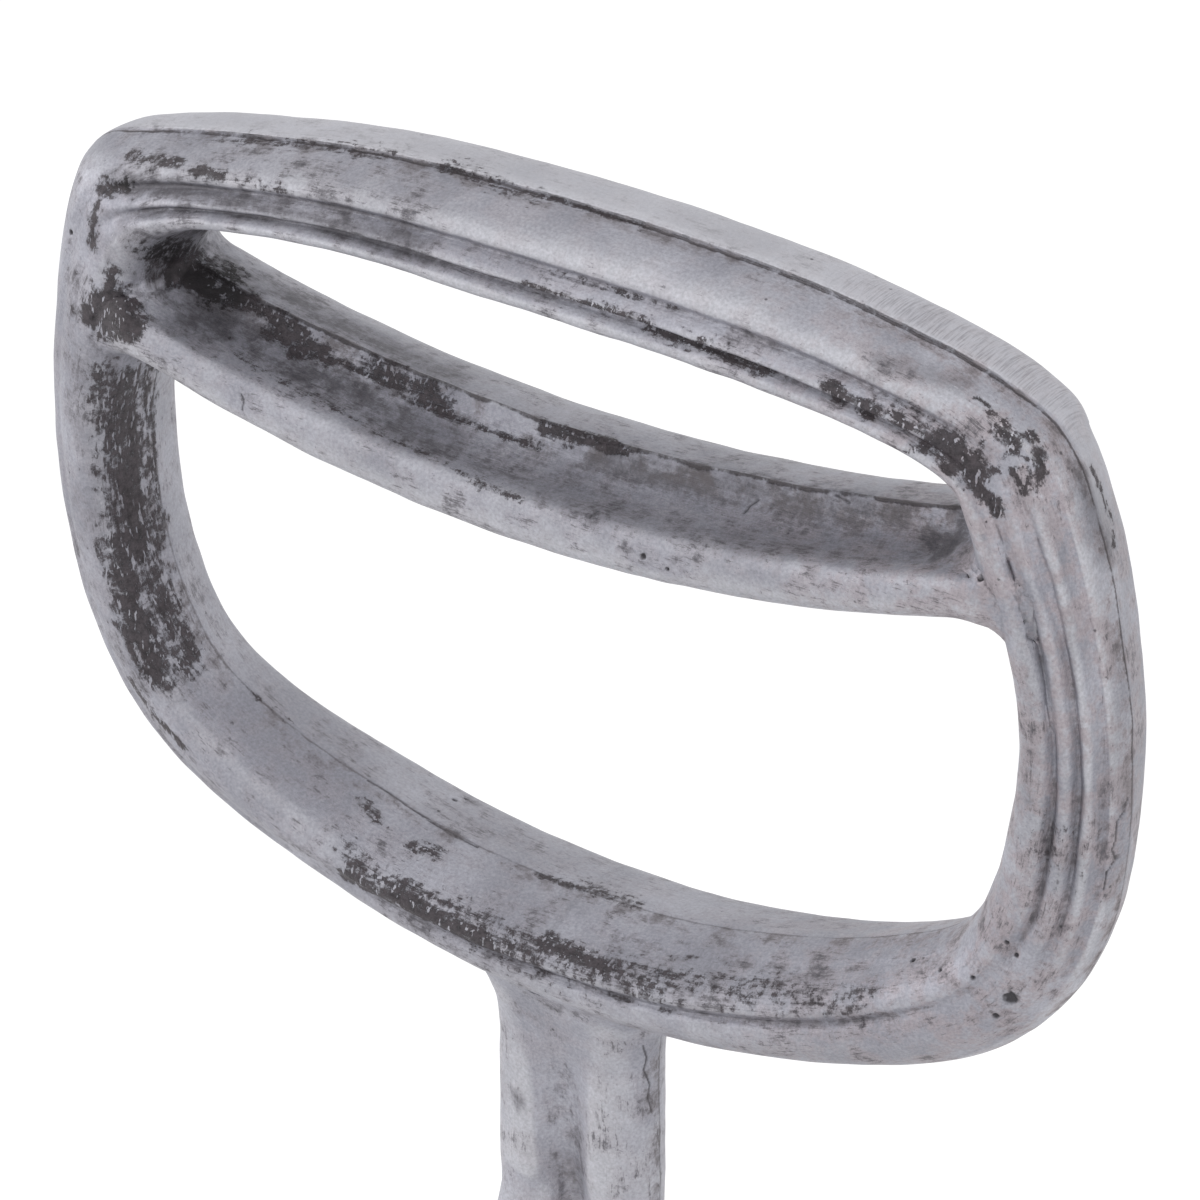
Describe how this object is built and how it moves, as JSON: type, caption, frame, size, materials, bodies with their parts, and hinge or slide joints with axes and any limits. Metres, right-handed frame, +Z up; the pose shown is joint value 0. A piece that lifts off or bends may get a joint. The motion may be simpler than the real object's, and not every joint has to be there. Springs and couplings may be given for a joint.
{
  "type": "stirrup hoe",
  "caption": "Push-pull garden hoe: swinging stirrup blade under a wooden shaft, with a worn cast-metal D-shaped hand grip that has a second inner bar.",
  "frame": {"origin": "middle of the underside of the upper grip bar, where a hand or a hook carries the hoe", "axes": "+Z up along the shaft towards the grip, +X along the width of the grip and the blade, +Y from front to back"},
  "size_m": [0.1475, 0.036, 1.0439],
  "materials": {
    "cast_aluminium": "worn, with remains of dark paint",
    "ash_wood": "oiled",
    "painted_steel": "semi-gloss",
    "rivet_steel": "satin",
    "spring_steel": "ground",
    "zinc_steel": "zinc plated"
  },
  "bodies": {
    "hoe": {"grip_casting": "cast_aluminium", "shaft": "ash_wood", "grip_rivet_upper": "rivet_steel", "grip_rivet_lower": "rivet_steel", "grip_burr_upper": "zinc_steel", "grip_burr_lower": "zinc_steel", "head_socket": "painted_steel", "socket_rivet": "rivet_steel", "yoke": "painted_steel", "yoke_rivet_left": "rivet_steel", "yoke_rivet_right": "rivet_steel", "pivot_bolt_left": "zinc_steel", "pivot_bolt_right": "zinc_steel", "pivot_bush_left": "zinc_steel", "pivot_bush_right": "zinc_steel", "outer_washer_left": "zinc_steel", "outer_washer_right": "zinc_steel", "inner_washer_left": "zinc_steel", "inner_washer_right": "zinc_steel", "lock_nut_left": "zinc_steel", "lock_nut_right": "zinc_steel"},
    "stirrup": {"stirrup_blade": "spring_steel"}
  },
  "joints": [
    {"name": "stirrup_swing", "type": "hinge", "parent": "hoe", "child": "stirrup", "pos_m": [0, 0, -0.934], "axis": [1, 0, 0], "range_deg": [-15, 15]}
  ]
}
